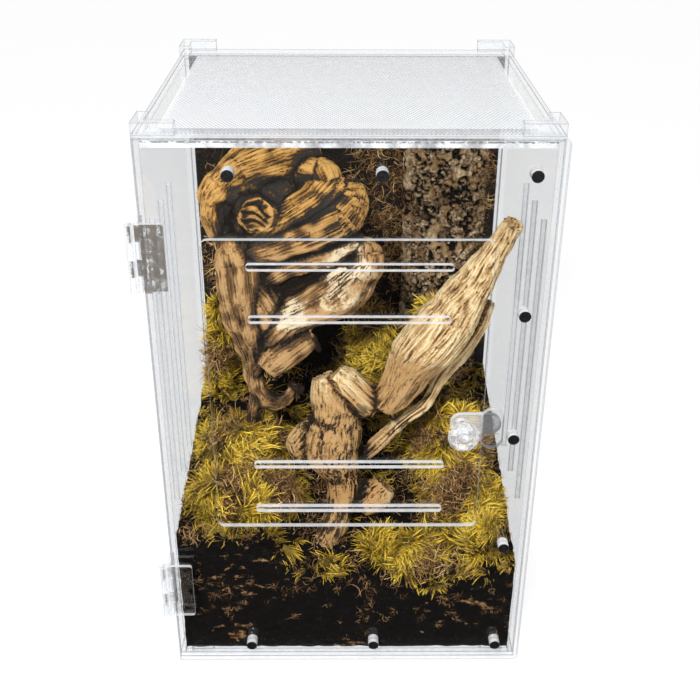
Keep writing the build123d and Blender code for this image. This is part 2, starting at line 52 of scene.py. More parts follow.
class Finish:
    """One socket of a material, so that shader maths reads as plain sums."""

    def __init__(self, tree, socket=None):
        self.tree = tree
        self.socket = socket

    def add(self, kind, inputs=None, out=0, stops=None, **settings):
        """Adds a node: its settings first, then its ramp stops, then its inputs."""
        node = self.tree.nodes.new(kind)
        for name, value in settings.items():
            setattr(node, name, value)
        if stops:
            ramp = node.color_ramp.elements
            while len(ramp) < len(stops):
                ramp.new(0.5)
            for element, (place, colour) in zip(ramp, stops):
                element.position = place
                element.color = (*colour, 1.0)
        for key, value in (inputs or {}).items():
            if isinstance(value, Finish):
                self.tree.links.new(value.socket, node.inputs[key])
            else:
                node.inputs[key].default_value = value
        return Finish(self.tree, node.outputs[out])

    def maths(self, operation, first, second=0.5, clamp=False):
        values = {0: first, 1: second}
        return self.add("ShaderNodeMath", values, operation=operation, use_clamp=clamp)

    def __add__(self, other):
        return self.maths("ADD", self, other)

    __radd__ = __add__

    def __sub__(self, other):
        return self.maths("SUBTRACT", self, other)

    def __rsub__(self, other):
        return self.maths("SUBTRACT", other, self)

    def __mul__(self, other):
        return self.maths("MULTIPLY", self, other)

    __rmul__ = __mul__

    def __abs__(self):
        return self.maths("ABSOLUTE", self)

    def axis(self, number):
        """One of the three numbers of a vector."""
        return self.add("ShaderNodeSeparateXYZ", {0: self}, out=number)

    def band(self, low, high):
        """0 below low, 1 above high."""
        values = {0: self, 1: low, 2: high}
        return self.add("ShaderNodeMapRange", values, interpolation_type="SMOOTHSTEP")

    def ramp(self, *stops):
        return self.add("ShaderNodeValToRGB", {0: self}, stops=stops)

    def blend(self, share, other):
        """This colour, with a share of another laid over it."""
        values = {0: share, 6: self, 7: (*other, 1.0) if isinstance(other, tuple) else other}
        return self.add("ShaderNodeMix", values, out=2, data_type="RGBA")

    def stretched(self, x, y, z):
        return self.add("ShaderNodeMapping", {0: self, 3: (x, y, z)})

    def speckle(self, scale, detail=4.0, roughness=0.6, distortion=0.0):
        values = {"Vector": self, "Scale": scale, "Detail": detail, "Roughness": roughness,
                  "Distortion": distortion}
        return self.add("ShaderNodeTexNoise", values)

    def ray(self, kind):
        """1 for rays of this kind, 0 for others."""
        return self.add("ShaderNodeLightPath", out=f"Is {kind} Ray")

    def kept(self, name, out=2):
        """What the mesh holds at each point: a number, or a vector with out=1."""
        return self.add("ShaderNodeAttribute", out=out, attribute_name=name,
                        attribute_type="GEOMETRY")

    def plain(self, kind, colour):
        """A shader that needs no more than its colour."""
        return self.add("ShaderNodeBsdf" + kind, {0: colour})

    def mixed(self, share, other):
        """This shader, with a share of another in it."""
        return self.add("ShaderNodeMixShader", {0: share, 1: self, 2: other})


def new_finish(name):
    """An empty material, and the piece's own coordinates in it."""
    material = bpy.data.materials.new(name)
    material.use_nodes = True
    material.node_tree.nodes.clear()
    return material, Finish(material.node_tree).add("ShaderNodeTexCoord", out=3)


def surface(shader, kind="Material"):
    """Ends a material, or the world, with its shader."""
    output = shader.tree.nodes.new("ShaderNodeOutput" + kind)
    shader.tree.links.new(shader.socket, output.inputs[0])


def coat(colour, roughness=0.5, bump=None, bump_depth=0.0005, gleam=0.5, **steady):
    """A Principled finish. Its gleam and steady values are the same all over the piece."""
    values = {"Base Color": colour, "Roughness": roughness, "Specular IOR Level": gleam, **steady}
    if bump is not None:
        values["Normal"] = colour.add("ShaderNodeBump", {"Height": bump, "Distance": bump_depth})
    surface(colour.add("ShaderNodeBsdfPrincipled", values))


def build(bm, name, material, smooth=True):
    """Turns a bmesh into a finished object at the origin."""
    mesh = bpy.data.meshes.new(name)
    bm.to_mesh(mesh)
    bm.free()
    mesh.materials.append(material)
    for face in mesh.polygons:
        face.use_smooth = smooth
    piece = bpy.data.objects.new(name, mesh)
    bpy.context.scene.collection.objects.link(piece)
    return piece


WHITE = (1.0, 1.0, 1.0, 1.0)
FLOOR_WHITE = (0.86, 0.86, 0.86, 1.0)
FLOOR_GLOW = 1.06
FLAG_GREY = (0.02, 0.02, 0.02, 1.0)
FLAG_START, FLAG_BLUR = -0.0925, 0.002   # the flag lies in front of this y
floor_finish, place = new_finish("studio_floor")
pale = place.plain("Diffuse", FLOOR_WHITE)
glow = place.add("ShaderNodeEmission", {0: WHITE, 1: FLOOR_GLOW})
dark = place.add("ShaderNodeEmission", {0: FLAG_GREY, 1: 1.0})
mirrored = place.maths("ADD", place.ray("Glossy"), place.ray("Transmission"), clamp=True)
seen = place.ray("Camera") * 0.86 + mirrored * 0.9
flag = mirrored * (1.0 - place.axis(1).band(FLAG_START - FLAG_BLUR, FLAG_START))
surface(pale.mixed(seen, glow).mixed(flag, dark))
bm = bmesh.new()
bmesh.ops.create_grid(bm, x_segments=4, y_segments=4, size=3.0)
floor = build(bm, "floor", floor_finish, smooth=False)

WORLD_LIGHT = 0.52   # on the pieces; seen directly or mirrored, the world is white
world = bpy.data.worlds.new("studio")
bpy.context.scene.world = world
world.use_nodes = True
world.node_tree.nodes.clear()
sky = Finish(world.node_tree)
sky_seen = sum(sky.ray(kind) for kind in ("Camera", "Transmission", "Glossy"))
level = sky.maths("MINIMUM", sky_seen, 1.0) * (1.0 - WORLD_LIGHT) + WORLD_LIGHT
background = sky.add("ShaderNodeBackground", {0: WHITE, 1: level})
surface(background, "World")


def lamp(name, place, aim, size, power):
    """A round soft light, turned to face its aim."""
    light = bpy.data.lights.new(name, "AREA")
    light.shape = "DISK"
    light.size = size
    light.energy = power
    holder = bpy.data.objects.new(name, light)
    holder.location = place
    direction = Vector(aim) - Vector(place)
    holder.rotation_euler = direction.to_track_quat("-Z", "Y").to_euler()
    bpy.context.scene.collection.objects.link(holder)


lamp("key_light", (-0.35, -1.0, 1.05), (0.0, 0.0, 0.17), 0.22, 24.0)
lamp("fill_light", (0.8, -0.7, 0.5), (0.0, 0.0, 0.15), 0.6, 2.0)

# The camera stands where the photograph's perspective puts it.
lens = bpy.data.cameras.new("camera")
lens.sensor_width = 36.0
lens.lens = 53.35
lens.clip_start = 0.01
camera = bpy.data.objects.new("camera", lens)
camera.location = (-0.00165, -0.54975, 0.45865)
camera.rotation_euler = Euler([math.radians(turn) for turn in (62.003, -0.254, -0.434)])
bpy.context.scene.collection.objects.link(camera)
bpy.context.scene.camera = camera
bpy.context.scene.view_settings.view_transform = "Standard"

# ---- Clear acrylic sheet ----
# The box, door, latch, hinges, corners and feet are laser-cut 3 mm acrylic, polished
# on its faces and edges and bonded with solvent, so only its edges and rims show.


def cool(level, step=0.01):
    """A grey a little bluer than neutral."""
    return (level, level + step, level + 2 * step, 1.0)


RIM_INSIDE, RIM_OUTSIDE = 0.0005, 0.0003   # the grey rim fades in between these distances from an edge


def acrylic(node, face=0.993, frost=0.0, edge_up=0.62, edge_down=0.15, mirror=1.0, rim_share=0.5,
            film=0.0, edge_tint=0.9, milkiness=0.68, field=None, glow=0.0):
    """Clear sheet: clear faces, cut edges that catch the light, and thin grey rims.

    The cut edges are painted light: whiter where they face up, with a faint painted glow. The grey
    rims are painted shade, for the dark lines at a clear sheet's edges. Frost is the milky share of
    the faces, kept out of a field if one is given. A glow is painted light that lets the milk shine
    of itself, for light the sheet gathers. Film is glue with bubbles on the faces."""
    low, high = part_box(node)
    size = high - low
    across = min(range(3), key=lambda axis: size[axis])
    material, place = new_finish(node + "_acrylic")
    normal = place.add("ShaderNodeTexCoord", out=1)
    flat = abs(normal.axis(across)).band(0.9, 0.97)
    near = []
    for axis in range(3):
        away = abs(place.axis(axis) - (low[axis] + high[axis]) / 2)
        near.append(away.band(size[axis] / 2 - RIM_INSIDE, size[axis] / 2 - RIM_OUTSIDE))
    # Painted shade: thin grey rims stand for the dark lines a clear sheet shows at its edges.
    rim = near[0] * near[1] + near[1] * near[2] + near[0] * near[2] + (1.0 - flat) * near[across]
    rim = place.maths("MINIMUM", rim, 1.0) * rim_share
    facing = place.add("ShaderNodeLayerWeight", {0: 0.5}, out=1)
    gloss = (place.maths("POWER", facing, 5.0) * 0.9 + 0.03) * mirror
    shine = place.add("ShaderNodeBsdfAnisotropic", {"Color": WHITE, "Roughness": 0.03})
    if field:
        for axis in (0, 1):
            reach = (field[1][axis] - field[0][axis]) / 2
            away = abs(place.axis(axis) - (field[0][axis] + reach))
            frost = frost * (1.0 - away.band(reach, reach + 0.0003))
    milk = place.plain("Diffuse", cool(milkiness))
    # Painted light: the glow lets the milk shine of itself.
    if glow:
        painted_glow_light = place.add("ShaderNodeEmission", {0: WHITE, 1: glow})
        milk = place.add("ShaderNodeAddShader", {0: milk, 1: painted_glow_light})
    pane = place.plain("Transparent", cool(face, 0.002)).mixed(frost, milk)
    if film:
        glue = place.plain("Diffuse", (0.1, 0.085, 0.07, 1.0))
        pane = pane.mixed(place.speckle(260.0, 3.0).band(0.42, 0.5) * film, glue)
    pane = pane.mixed(gloss, shine)
    # Painted light: cut edges are whiter where they face up, and glow faintly.
    painted_edge_light = place.add("ShaderNodeBsdfPrincipled", {
        "Base Color": (0.72, 0.73, 0.745, 1.0), "Roughness": 0.25,
        "Emission Color": WHITE, "Emission Strength": 0.04})
    lit = normal.axis(2).band(-0.6, 0.6) * (edge_up - edge_down) + edge_down
    lit = lit + (place.speckle(300.0).band(0.3, 0.7) - 0.5) * 0.12
    edge = place.plain("Transparent", cool(edge_tint)).mixed(lit, painted_edge_light)
    sheet = edge.mixed(flat, pane).mixed(rim, place.plain("Diffuse", (0.3, 0.31, 0.33, 1.0)))
    lamps_through = place.plain("Transparent", cool(0.993, 0.002))
    surface(sheet.mixed(place.ray("Shadow"), lamps_through))
    return material


def dress(node, material):
    """Gives a CAD piece its finish."""
    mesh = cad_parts[node].data
    mesh.materials.clear()
    mesh.materials.append(material)


for node in ("front_door", "front_panel", "back_wall", "floor_panel"):
    dress(node, acrylic(node))
for node in ("left_wall", "right_wall"):
    dress(node, acrylic(node, 0.985, edge_up=0.2, edge_down=0.04, mirror=0.25, rim_share=0.55,
                        edge_tint=0.97))
dress("latch_keeper", acrylic("latch_keeper", 0.985, frost=0.04, edge_up=0.6, edge_down=0.3,
                              mirror=0.2))
# The bar's milk glows a little, as painted light.
dress("latch_bar", acrylic("latch_bar", 0.985, frost=0.16, edge_up=0.7, edge_down=0.3, mirror=0.3,
                           glow=0.5))
CORNERS = ("front_left", "front_right", "back_left", "back_right")
GLUE_FILM = {"upper_hinge_door_leaf": 0.75, "lower_hinge_door_leaf": 0.15}
for node in ("latch_spindle", "upper_hinge_wall_leaf", "upper_hinge_pin", "lower_hinge_wall_leaf",
             "lower_hinge_pin", *["foot_" + name for name in CORNERS], *GLUE_FILM):
    dress(node, acrylic(node, 0.95, edge_up=0.5, edge_down=0.2, film=GLUE_FILM.get(node, 0.0)))
for node in ["stacking_corner_" + name for name in CORNERS]:
    dress(node, acrylic(node, 0.96, edge_up=0.22, edge_down=0.16, rim_share=0.6))

# ---- Perforated lid ----
# The lid is the same sheet, drilled by laser with thousands of small holes in
# staggered rows. A solid margin is left where it is bonded to the walls.

lid_low, lid_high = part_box("perforated_top")
HOLE = 0.001
SIDE_MARGIN, FRONT_MARGIN, BACK_MARGIN = 0.0105, 0.0095, 0.0195
HOLES_ACROSS = 90
ROW_PAIRS = 42
field_low = lid_low + Vector((SIDE_MARGIN, FRONT_MARGIN, 0.0))
field_high = lid_high - Vector((SIDE_MARGIN, BACK_MARGIN, 0.0))
drilled_sheet = acrylic("perforated_top", frost=0.58, edge_up=0.16, edge_down=0.08, milkiness=0.84,
                        mirror=0.6, field=(field_low, field_high))
pitch = (field_high.x - field_low.x) / HOLES_ACROSS
row = (field_high.y - field_low.y) / (2 * ROW_PAIRS)


def drilled_cell(drilled):
    """One cell of the lid: a rectangle of sheet, with or without its hole."""
    bm = bmesh.new()
    x, y = pitch / 2, row / 2
    outline = [(-x, 0), (-x, -y), (x, -y), (x, 0), (x, y), (-x, y)]
    edges = []
    for z in (lid_high.z, lid_low.z):
        ring = [bm.verts.new((a, b, z)) for a, b in outline]
        if not drilled:
            bm.faces.new(ring if z == lid_high.z else ring[::-1])
            continue
        loop = [bm.edges.new((ring[i], ring[i - 1])) for i in range(6)]
        turned = Matrix.Translation((0, 0, z)) @ Matrix.Rotation(math.pi / 2, 4, "Z")
        hole = bmesh.ops.create_circle(bm, segments=6, radius=HOLE / 2, matrix=turned)
        hole_loop = [edge for edge in bm.edges if all(v in hole["verts"] for v in edge.verts)]
        bmesh.ops.bridge_loops(bm, edges=loop + hole_loop)
        edges += hole_loop
    if drilled:
        bmesh.ops.bridge_loops(bm, edges=edges)
        bmesh.ops.recalc_face_normals(bm, faces=bm.faces[:])
    mesh = bpy.data.meshes.new("lid_cell")
    bm.to_mesh(mesh)
    bm.free()
    return mesh


def add_moved(bm, mesh, matrix):
    """Adds a copy of a mesh at a place, and puts the mesh back."""
    mesh.transform(matrix)
    bm.from_mesh(mesh)
    mesh.transform(matrix.inverted())


cell = drilled_cell(True)
pair = bmesh.new()
for row_number in range(2):
    y = field_low.y + (row_number + 0.5) * row
    for number in range(HOLES_ACROSS - row_number):
        x = field_low.x + (number + 0.5 + 0.5 * row_number) * pitch
        add_moved(pair, cell, Matrix.Translation((x, y, 0.0)))
filler = drilled_cell(False)
for x in (field_low.x + pitch / 4, field_high.x - pitch / 4):
    half = Matrix.Translation((x, field_low.y + 1.5 * row, 0.0)) @ Matrix.Diagonal((0.5, 1.0, 1.0, 1.0))
    add_moved(pair, filler, half)
lid = build(pair, "perforated_lid", drilled_sheet, smooth=False)
rows = lid.modifiers.new("rows", "ARRAY")
rows.count = ROW_PAIRS // 2
rows.use_relative_offset = False
rows.use_constant_offset = True
rows.constant_offset_displace = (0.0, 2 * row, 0.0)


def applied(piece):
    """The piece's mesh with its modifiers applied."""
    graph = bpy.context.evaluated_depsgraph_get()
    return bpy.data.meshes.new_from_object(piece.evaluated_get(graph))


def block(low, high):
    """A box from one corner to the other."""
    bm = bmesh.new()
    size = Matrix.Diagonal((*(high - low), 1.0))
    bmesh.ops.create_cube(bm, size=1.0, matrix=Matrix.Translation((low + high) / 2) @ size)
    return bm


half_lid = applied(lid)
bpy.data.objects.remove(lid)
middle = field_low.y + ROW_PAIRS * row
for name, shift, start_y, end_y in (("lid_front_half", 0.0, lid_low.y, middle),
                                    ("lid_back_half", ROW_PAIRS * row, middle, lid_high.y)):
    bm = block(Vector((lid_low.x, start_y, lid_low.z)), Vector((lid_high.x, end_y, lid_high.z)))
    for cut_way in ((1, 0, 0), (0, 1, 0)):
        for cut_place in (field_low, field_high):
            bmesh.ops.bisect_plane(bm, geom=bm.verts[:] + bm.edges[:] + bm.faces[:],
                                   plane_co=cut_place, plane_no=cut_way)
    spare = []
    for face in bm.faces:
        spot = face.calc_center_median()
        inside = field_low.x < spot.x < field_high.x and field_low.y < spot.y < field_high.y
        if inside or abs(spot.y - middle) < 0.0001:
            spare.append(face)
    bmesh.ops.delete(bm, geom=spare, context="FACES")
    add_moved(bm, half_lid, Matrix.Translation((0.0, shift, 0.0)))
    bmesh.ops.remove_doubles(bm, verts=bm.verts[:], dist=0.00002)
    piece = build(bm, name, drilled_sheet, smooth=False)
    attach(piece, "box")
    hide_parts("perforated_top")

# ---- Cement bead ----
# A bead of solvent cement fills the corner where the lid meets the front panel, with a
# row of trapped bubbles.

cement, place = new_finish("cement_bead")
BUBBLE_ROW = lid_low.z - 0.0007
row_share = 1.0 - abs(place.axis(2) - BUBBLE_ROW).band(0.0003, 0.0006)
bubbles = place.speckle(620.0, 1.0).band(0.44, 0.52) * row_share
clear = place.plain("Transparent", cool(0.95, 0.005))
milky = place.plain("Diffuse", cool(0.78))
gap = place.plain("Diffuse", (0.12, 0.11, 0.1, 1.0))
bead = clear.mixed(place.speckle(160.0).band(0.3, 0.7) * 0.5 + 0.3, milky)
surface(bead.mixed(bubbles * 0.8, gap))

BEAD_HEIGHT, BEAD_DEPTH = 0.0034, 0.0009
bead_low = Vector((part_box("left_wall")[1].x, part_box("front_panel")[1].y, lid_low.z - BEAD_HEIGHT))
bead_high = Vector((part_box("right_wall")[0].x, bead_low.y + BEAD_DEPTH, lid_low.z))
bm = block(bead_low, bead_high)
lower_back = [edge for edge in bm.edges
              if all(v.co.z < bead_high.z - 0.001 and v.co.y > bead_low.y + 0.0005 for v in edge.verts)]
bmesh.ops.bevel(bm, geom=lower_back, offset=0.0008, segments=3, profile=0.5, affect="EDGES",
                material=-1)
bead_piece = build(bm, "lid_cement_bead", cement, smooth=False)
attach(bead_piece, "box")

# ---- Disc magnets ----
# Nickel-plated neodymium discs, 6 mm by 3 mm, pressed into holes in the door and the
# panel. Their faces are painted dark, a painted reflection of the dark room, and their
# sides look bright.

nickel, place = new_finish("nickel_plate")
front = place.add("ShaderNodeTexCoord", out=1).axis(1)
# Painted reflection: faces that look forward are painted dark.
painted_reflection_share = (front * -1.0).band(0.7, 0.95)
scuffs = place.speckle(900.0, 5.0)
plate_colour = scuffs.ramp((0.3, (0.62, 0.61, 0.58)), (0.7, (0.78, 0.77, 0.74)))
painted_reflection_colour = scuffs.ramp((0.3, (0.03, 0.03, 0.032)), (0.7, (0.09, 0.09, 0.095)))
coat(plate_colour.blend(painted_reflection_share, painted_reflection_colour), roughness=0.3, Metallic=0.9)
for node in ("frame_magnets", "door_magnets"):
    dress(node, nickel)

# ---- Knob ----
# A small turned knob of clear crystal acrylic, cut with facets round its rim and a
# shallow dish in its face. It is glued on the latch's spindle.

crystal, place = new_finish("crystal_knob")
normal = place.add("ShaderNodeTexCoord", out=1)
# Painted reflection: each facet is painted its own grey by the way it faces.
painted_facet_greys = normal.speckle(2.6, 1.0).ramp((0.35, (0.2, 0.21, 0.22)), (0.5, (0.6, 0.61, 0.62)),
                                       (0.6, (0.85, 0.86, 0.87)))
cut_face = place.add("ShaderNodeBsdfPrincipled", {"Base Color": painted_facet_greys, "Roughness": 0.12,
                                                  "Coat Weight": 0.5})
clear = place.plain("Transparent", (0.96, 0.965, 0.975, 1.0))
body = clear.mixed(place.speckle(420.0).band(0.3, 0.7) * 0.25 + 0.25, cut_face)
open_way = place.plain("Transparent", cool(0.97, 0.005))
surface(body.mixed(place.ray("Shadow"), open_way))

knob_low, knob_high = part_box("latch_knob")
knob_middle = (knob_low + knob_high) / 2
knob_depth = knob_high.y - knob_low.y
knob_radius = (knob_high.x - knob_low.x) / 2
KNOB_FACETS = 10
KNOB_RINGS = (
    # shares of the depth and of the radius, and whether the ring is turned by half a facet
    (0.0, 0.8, 0), (0.12, 0.97, 0), (0.5, 1.0, 1), (0.74, 0.86, 0), (1.0, 0.62, 1), (0.93, 0.5, 0),
    (0.8, 0.34, 1), (0.86, 0.12, 0),
)


def skinned(bm, rings):
    """Bridges rings of points one after another, and closes the first and the last."""
    loops = [[edge for edge in bm.edges if edge.verts[0] in ring and edge.verts[1] in ring]
             for ring in rings]
    for before, after in zip(loops, loops[1:]):
        bmesh.ops.bridge_loops(bm, edges=before + after)
    for loop in (loops[0], loops[-1]):
        bmesh.ops.holes_fill(bm, edges=loop, sides=len(loop))


bm = bmesh.new()
rings = []
for depth_share, radius_share, half_turn in KNOB_RINGS:
    spot = Vector((knob_middle.x, knob_high.y - depth_share * knob_depth, knob_middle.z))
    turn = Matrix.Rotation(half_turn * math.pi / KNOB_FACETS, 4, "Y")
    turned = Matrix.Translation(spot) @ turn @ Matrix.Rotation(math.pi / 2, 4, "X")
    ring = bmesh.ops.create_circle(bm, segments=KNOB_FACETS, radius=knob_radius * radius_share * 0.999,
                                   matrix=turned)
    rings.append(set(ring["verts"]))
skinned(bm, rings)
bmesh.ops.triangulate(bm, faces=bm.faces[:])
bmesh.ops.recalc_face_normals(bm, faces=bm.faces[:])
knob = build(bm, "crystal_knob", crystal, smooth=False)
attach(knob, "latch")
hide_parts("latch_knob")

# ---- Backdrop board ----
# A black coir board stands against the back wall. Its face is a dark felt of short
# fibres that moss and roots cling to.

coir, place = new_finish("coir_board")
felt = place.speckle(700.0, 6.0, 0.7)
patches = place.speckle(38.0, 4.0)
dark = felt.ramp((0.35, (0.006, 0.005, 0.004)), (0.6, (0.02, 0.017, 0.013)),
                 (0.75, (0.05, 0.04, 0.027)))
dark = dark.blend(patches.band(0.55, 0.75) * 0.5, (0.035, 0.026, 0.016))
coat(dark, 0.95, felt, 0.0015, 0.12)
dress("background_board", coir)

# ---- Driftwood ----
# Two weathered pieces: a thick orange-tan root whose lobes fold over each other, and
# a pale split branch that leans on the soil. They only stand in the soil.

door_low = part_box("front_door")[0]
wall_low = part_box("left_wall")[0]
wall_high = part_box("right_wall")[1]
corner = Vector(((wall_low.x + wall_high.x) / 2, door_low.y, door_low.z))   # mid-door, front, bottom
RING = 20
WOOD_VOXEL = 0.0009

# Each limb is a row of stations: x, y, z from the corner, and the radius there, in mm.
ROOT_LIMBS = (
    ((-45.9, 122, 269.2, 13.9), (-47.1, 116, 254.4, 18.5), (-40.3, 112, 241.2, 20.9),
     (-28.8, 110, 230.9, 21.6), (-17.2, 107, 223.3, 17.6)),
    ((-64.2, 97, 223.6, 11.5), (-60.1, 94, 207.3, 15.1), (-52.4, 93, 192.4, 17.6),
     (-45.7, 91, 179, 15.4), (-47.2, 89, 164, 10.7)),
    ((-13.5, 122, 278.2, 6.3), (-27.2, 118, 274.6, 11.4), (-42.9, 112, 271.8, 14.2),
     (-57.3, 106, 268.4, 13.5), (-67.8, 101, 262.5, 11.2), (-75.3, 98, 254.1, 9),
     (-76.8, 97, 244.3, 6.8), (-74.5, 97, 235.3, 5.7), (-69.7, 97, 228.5, 5.2)),
    ((-29.4, 112, 264.2, 6.3), (-21.9, 108, 266.1, 7.9), (-13.3, 104, 265.1, 9.6),
     (-10.5, 100, 260, 9.6), (-16.7, 97, 254, 9.6), (-25.7, 94, 248.5, 9.6), (-34.8, 93, 242.9, 9),
     (-42.7, 92, 239.1, 8.5), (-51.8, 92, 237.2, 7.4), (-59.3, 94, 238.3, 6.2)),
    ((-51.3, 102, 239.4, 9.2), (-51.1, 93, 244.1, 11.8), (-50.5, 86, 247.3, 11.1),
     (-50, 81, 249.2, 8.3)),
    ((-0.3, 106, 259.1, 6.8), (1.9, 101, 254.3, 8.5), (0.8, 97, 248, 10.2), (-5.4, 93, 242.3, 11.3),
     (-16.7, 91, 237.7, 11.3), (-28.1, 90, 232.6, 10.8), (-39.5, 90, 227.7, 10.2), (-51, 90, 224, 9.1),
     (-61.5, 91, 221.1, 8)),
    ((10.7, 98, 229.5, 6.9), (2.6, 94, 226.1, 8.6), (-7.7, 92, 223.9, 8.6), (-19.1, 90, 221.6, 8),
     (-29.5, 89, 217.7, 7.4), (-38.8, 89, 212.7, 7.5), (-47, 89, 206.4, 6.9)),
    ((1.5, 98, 226.4, 8.6), (8.4, 94, 221.2, 10.9), (8.4, 91, 213.8, 11.5), (2.6, 89, 206.5, 13.3),
     (-5.4, 88, 199.3, 13.9), (-15.9, 87, 194, 12.2), (-25.8, 86, 189.3, 11.7),
     (-35.3, 86, 184.1, 12.3), (-43.1, 86, 176.2, 11.8), (-48.1, 85, 167.4, 9.5)),
    ((-67.9, 98, 231.8, 7.5), (-64.4, 93, 224, 12), (-62.4, 90, 211.6, 14.4), (-61, 87, 199, 14.5),
     (-58.6, 86, 185.4, 13.4), (-56.1, 85, 172.7, 11.2), (-54.8, 84, 159.9, 8.3),
     (-55.7, 82, 148.8, 6), (-54.1, 80, 139.6, 5.4), (-48.3, 79, 131.8, 6), (-39.9, 79, 131.1, 5.4),
     (-33.1, 80, 137.5, 4.2), (-30, 81, 143.8, 3)),
    ((-19.7, 88, 173.2, 8.9), (-27.9, 84, 169.3, 10), (-36.1, 80, 164.7, 10), (-43.1, 77, 159.7, 8.8),
     (-49.1, 75, 154, 6.5)),
    ((-55, 81, 138, 4.8), (-57, 78, 118, 4), (-58, 76, 94, 4)),
)
BRANCH_LIMBS = (
    ((87.3, 51, 257.9, 4.7), (83.2, 54, 248.3, 6.4), (78.5, 57, 237.4, 7.5), (74.1, 59, 226.5, 9.2),
     (68.6, 62, 214.4, 11.6), (62.3, 65, 202.6, 14), (56.3, 67, 191.6, 16.4), (49.5, 68, 180.9, 17.2),
     (41.4, 69, 170, 16.2), (35.9, 69, 159.4, 13.4), (31.5, 69, 149.3, 11.7), (26.4, 68, 141.1, 10.6),
     (19.4, 67, 133.4, 8.3)),
    ((80.1, 72, 201.8, 2.8), (77.6, 76, 186.5, 4), (71.8, 79, 171.9, 4.7), (63.8, 80, 159.4, 4.7),
     (56.1, 80, 147.2, 4.2), (51.7, 80, 136.1, 3.6), (46.5, 79, 128.3, 4.2), (39.3, 77, 123.8, 4.2),
     (31.5, 75, 117.9, 4.2), (23.7, 73, 110.6, 4.3), (15.8, 70, 103.9, 4.3), (7.9, 66, 98.6, 3.6)),
    ((-14.9, 75, 153.4, 6.5), (-12, 73, 144.3, 10.1), (-8.4, 70, 134.4, 12.5), (-6.1, 68, 125.2, 14.9),
     (-9.1, 65, 115.8, 18), (-9.7, 62, 107.8, 17.4), (-5.5, 59, 99.7, 14.4), (-2.5, 56, 91.6, 10.8),
     (-2.5, 52, 82.7, 9.6), (-4.3, 48, 73.8, 8.4), (-7.9, 43, 65.7, 7.8), (-12.1, 38, 59.1, 6.6),
     (-14.2, 36, 53, 4.4)),
    ((-12.6, 68, 123.8, 7.8), (-21, 66, 118, 9.6), (-26.5, 64, 110, 9.6), (-22.9, 62, 102, 7.2)),
    ((-7.8, 73, 155.8, 6.5), (-1.3, 71, 150.2, 8.8), (5.2, 70, 143.3, 9.4), (11.7, 69, 137, 9.5),
     (20, 67, 133.4, 7.1)),
    ((6.6, 49, 75.3, 6.6), (12.1, 52, 78.3, 9.7), (17.5, 54, 82.7, 10.3), (23.5, 56, 87.9, 7.2)),
)


def eased(stations, steps=3):
    """The same limb with more stations, on a smooth curve through the given ones."""
    ends = [Vector(station) for station in stations]
    ends = [2 * ends[0] - ends[1]] + ends + [2 * ends[-1] - ends[-2]]
    more = []
    for before, start, end, after in zip(ends, ends[1:], ends[2:], ends[3:]):
        for step in range(steps):
            t = step / steps
            slope_in, slope_out = (end - before) / 2, (after - start) / 2
            curve = (2 * t**3 - 3 * t**2 + 1) * start + (t**3 - 2 * t**2 + t) * slope_in
            more.append(curve + (3 * t**2 - 2 * t**3) * end + (t**3 - t**2) * slope_out)
    return more + [ends[-2]]


def limb(bm, stations):
    """Rings of wood bridged along a limb, closed at both ends."""
    stations = eased(stations)
    last = len(stations) - 1
    points = [Vector(station[:3]) / 1000 for station in stations]
    rings = []
    for number, station in enumerate(stations):
        ahead = (points[min(number + 1, last)] - points[max(number - 1, 0)]).normalized()
        side = ahead.cross(Vector((0, 1, 0))).normalized()
        turn = Matrix((side, ahead.cross(side), ahead)).transposed().to_4x4()
        matrix = Matrix.Translation(corner + points[number]) @ turn
        ring = bmesh.ops.create_circle(bm, segments=RING, radius=station[3] / 1000, matrix=matrix)
        rings.append(set(ring["verts"]))
    skinned(bm, rings)


def grain_of(bm, limbs):
    """Where each point lies on its limb, and how deep it is in a crease between two limbs."""
    places = np.array([vert.co for vert in bm.verts])
    nearest = np.full(len(places), 1.0)
    second = np.full(len(places), 1.0)
    grain = np.zeros((len(places), 3))
    for seed, stations in enumerate(limbs):
        best = np.full(len(places), 1.0)
        own = np.zeros((len(places), 3))
        along_limb = seed * 1.7
        for start, end in zip(stations, stations[1:]):
            foot = corner + Vector(start[:3]) / 1000
            ahead = Vector(end[:3]) / 1000 - Vector(start[:3]) / 1000
            length = ahead.length
            ahead.normalize()
            side = ahead.cross(Vector((0, 1, 0))).normalized()
            offset = places - np.array(foot)
            along = np.clip(offset @ np.array(ahead), 0.0, length)
            away = offset - along[:, None] * np.array(ahead)
            radius = (start[3] + (end[3] - start[3]) * along / length) / 1000
            distance = np.linalg.norm(away, axis=1) - radius
            if abs(ahead.y) > 0.6:  # a knot faces the front, so its grain runs across it
                slant = np.array((0.94, 0.0, 0.34))
                across = np.array((-0.34, 0.0, 0.94))
                lie = (offset @ across * 0.7 + seed, along * 0.1, offset @ slant + along_limb)
            else:
                up = ahead.cross(side)
                lie = (away @ np.array(side) + seed, away @ np.array(up), along + along_limb)
            closer = distance < best
            best[closer] = distance[closer]
            own[closer] = np.stack(lie, axis=1)[closer]
            along_limb += length
        closer = best < nearest
        second = np.where(closer, nearest, np.minimum(second, best))
        grain[closer] = own[closer]
        nearest = np.where(closer, best, nearest)
    crease = np.clip(1.0 - (second - nearest) / 0.003, 0.0, 1.0)
    return grain, crease


def averaged(places, pairs, rounds):
    """Every point moved halfway to the middle of its neighbours, round after round."""
    neighbours = np.bincount(pairs.ravel(), minlength=len(places))
    for _ in range(rounds):
        middle = np.empty_like(places)
        for axis in range(3):
            total = np.bincount(pairs[:, 0], places[pairs[:, 1], axis], len(places))
            total += np.bincount(pairs[:, 1], places[pairs[:, 0], axis], len(places))
            middle[:, axis] = total / neighbours
        places = (places + middle) / 2
    return places


